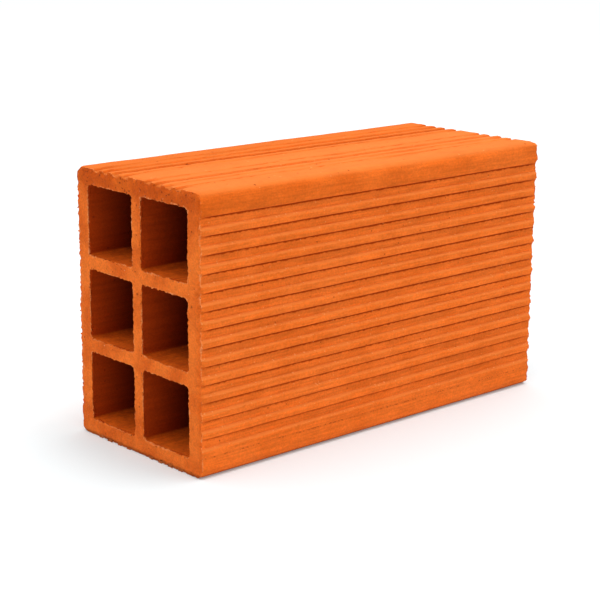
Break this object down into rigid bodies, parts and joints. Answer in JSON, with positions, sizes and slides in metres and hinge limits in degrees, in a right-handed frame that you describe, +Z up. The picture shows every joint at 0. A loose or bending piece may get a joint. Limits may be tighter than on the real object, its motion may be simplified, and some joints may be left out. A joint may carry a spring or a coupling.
{
  "type": "hollow clay brick",
  "caption": "Extruded hollow clay wall brick with square cells along its length and thin ribs along its outside to grip mortar and plaster.",
  "frame": {"origin": "centre of the brick's underside, on the floor it lies on", "axes": "+X along the length and the cells, +Y across the width, +Z up the height"},
  "size_m": [0.24, 0.1, 0.14],
  "materials": {
    "fired_clay": "matte bare fired clay, bright orange, with drag lines from the die and torn wire-cut ends"
  },
  "bodies": {
    "root": {"brick": "fired_clay"}
  },
  "joints": []
}
